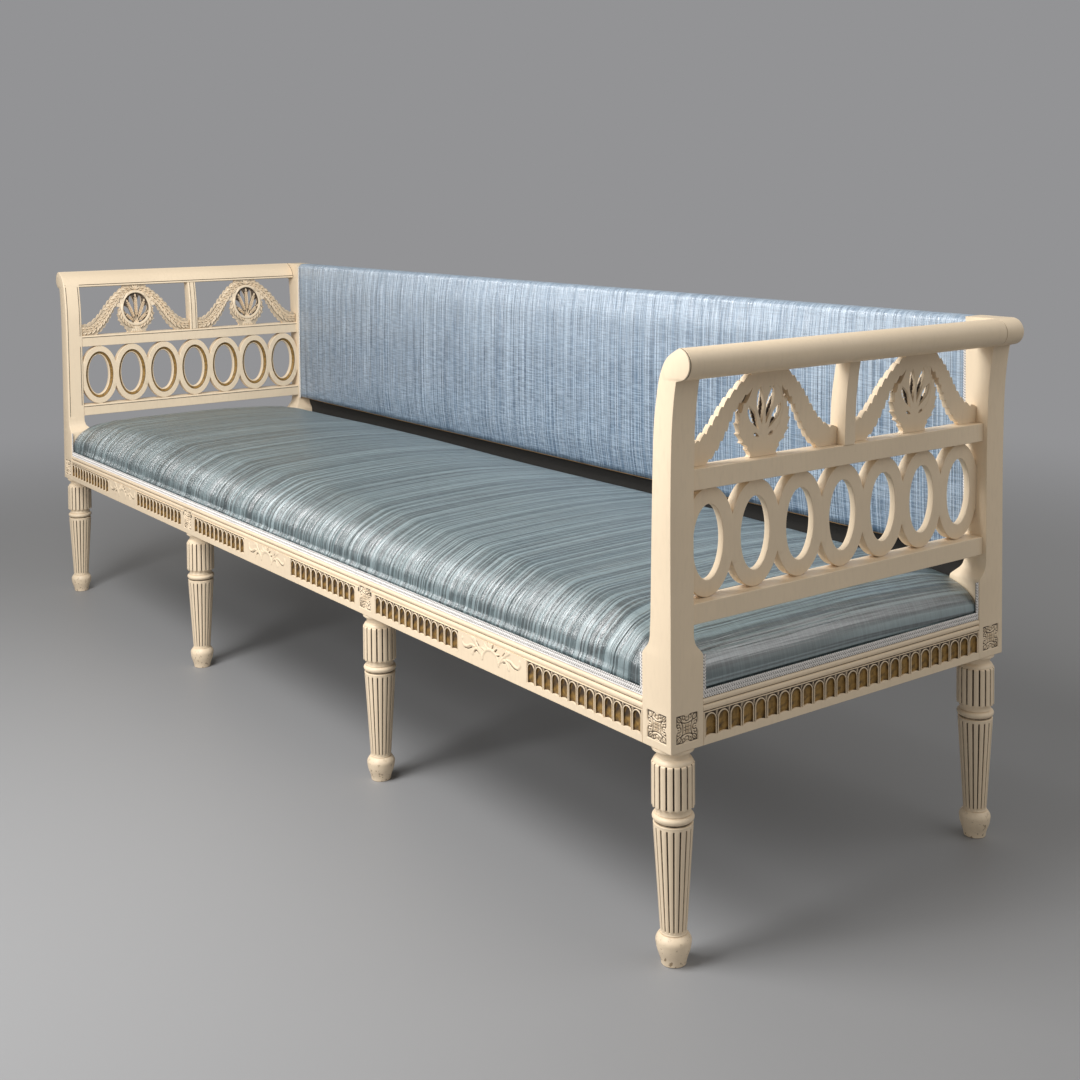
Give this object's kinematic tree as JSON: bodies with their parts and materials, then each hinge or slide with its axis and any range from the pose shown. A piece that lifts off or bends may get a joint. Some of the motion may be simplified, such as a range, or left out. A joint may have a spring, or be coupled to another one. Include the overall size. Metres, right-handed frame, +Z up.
{
  "type": "recamier",
  "caption": "Long painted two-armed sofa on turned fluted legs, with open arms of ovals and garlands, an arcaded seat rail, a domed seat and a padded back.",
  "frame": {"origin": "on the floor under the middle of the sofa, halfway along its length and halfway through its depth", "axes": "+X along the sofa to a sitter's left, +Y from the front to the back, +Z up"},
  "size_m": [2.385, 0.68, 0.808],
  "materials": {
    "painted_wood": "aged cream distemper paint over pine and birch, satin, worn through on sharp edges, dark in the carving",
    "frame_timber": "bare sawn softwood, matt",
    "seat_cloth": "grey teal ribbed cotton and silk rep with a soft sheen and fine light flecks",
    "back_cloth": "pale blue slubbed silk, woven with vertical streaks, satin",
    "gimp": "lilac white braid in two rows, matt",
    "jute": "natural jute, plain weave",
    "bottom_linen": "dark grey linen, plain weave"
  },
  "bodies": {
    "root": {"front_left_leg": "painted_wood", "front_mid_left_leg": "painted_wood", "front_mid_right_leg": "painted_wood", "front_right_leg": "painted_wood", "back_left_leg": "painted_wood", "back_mid_left_leg": "painted_wood", "back_mid_right_leg": "painted_wood", "back_right_leg": "painted_wood", "front_right_post": "painted_wood", "front_left_post": "painted_wood", "back_right_post": "painted_wood", "back_left_post": "painted_wood", "front_seat_rail": "painted_wood", "back_seat_rail": "painted_wood", "right_seat_rail": "painted_wood", "left_seat_rail": "painted_wood", "left_cross_rail": "frame_timber", "right_cross_rail": "frame_timber", "front_right_brace": "frame_timber", "back_right_brace": "frame_timber", "back_left_brace": "frame_timber", "front_left_brace": "frame_timber", "seat_webbing": "jute", "seat_hessian": "jute", "seat_bottom_cover": "bottom_linen", "seat_pad": "seat_cloth", "front_seat_gimp": "gimp", "back_seat_gimp": "gimp", "left_seat_gimp": "gimp", "right_seat_gimp": "gimp", "right_crest_rail": "painted_wood", "right_mid_rail": "painted_wood", "right_lower_rail": "painted_wood", "right_arm_stile": "painted_wood", "right_oval_gallery": "painted_wood", "right_front_garland": "painted_wood", "right_back_garland": "painted_wood", "left_crest_rail": "painted_wood", "left_mid_rail": "painted_wood", "left_lower_rail": "painted_wood", "left_arm_stile": "painted_wood", "left_oval_gallery": "painted_wood", "left_front_garland": "painted_wood", "left_back_garland": "painted_wood", "back_bottom_rail": "frame_timber", "back_top_rail": "frame_timber", "back_left_muntin": "frame_timber", "back_right_muntin": "frame_timber", "back_hessian": "jute", "back_pad": "back_cloth", "back_outer_cover": "back_cloth", "back_left_gimp": "gimp", "back_right_gimp": "gimp"}
  },
  "joints": []
}
